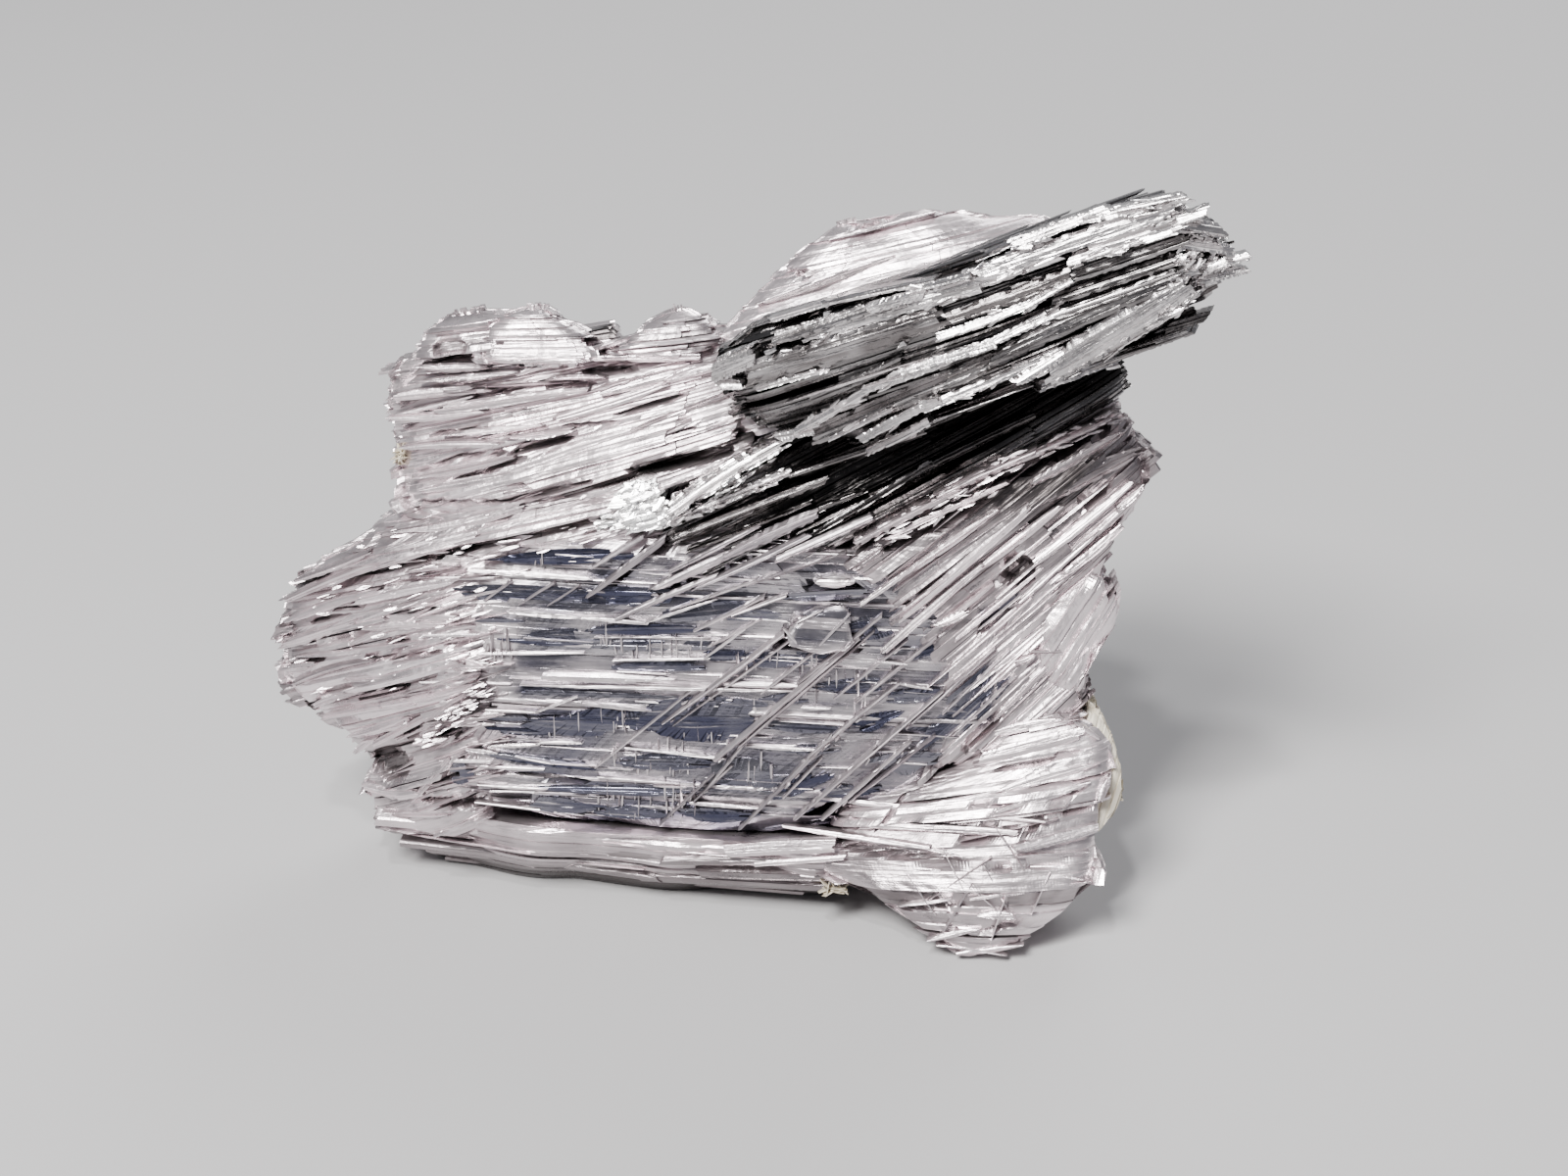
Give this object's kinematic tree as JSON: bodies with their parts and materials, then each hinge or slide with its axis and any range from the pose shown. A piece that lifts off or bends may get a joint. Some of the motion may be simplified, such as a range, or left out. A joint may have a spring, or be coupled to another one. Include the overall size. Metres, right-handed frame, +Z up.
{
  "type": "andorite crystal",
  "caption": "Loose metallic-grey specimen of intergrown striated blades in one leaning plate with a raised bundle, resting upright on its broken lower edge.",
  "frame": {"origin": "centre of the bounding box's lower face, on the surface that the specimen stands on", "axes": "+Z up, -Y towards the viewer in front of the striated face, +X to the right, towards the raised bundle's tip"},
  "size_m": [0.0274, 0.0112, 0.0208],
  "materials": {
    "andorite": "steel-grey metallic lustre, striated, with a faint warm tarnish"
  },
  "bodies": {
    "root": {"andorite_cluster": "andorite"}
  },
  "joints": []
}
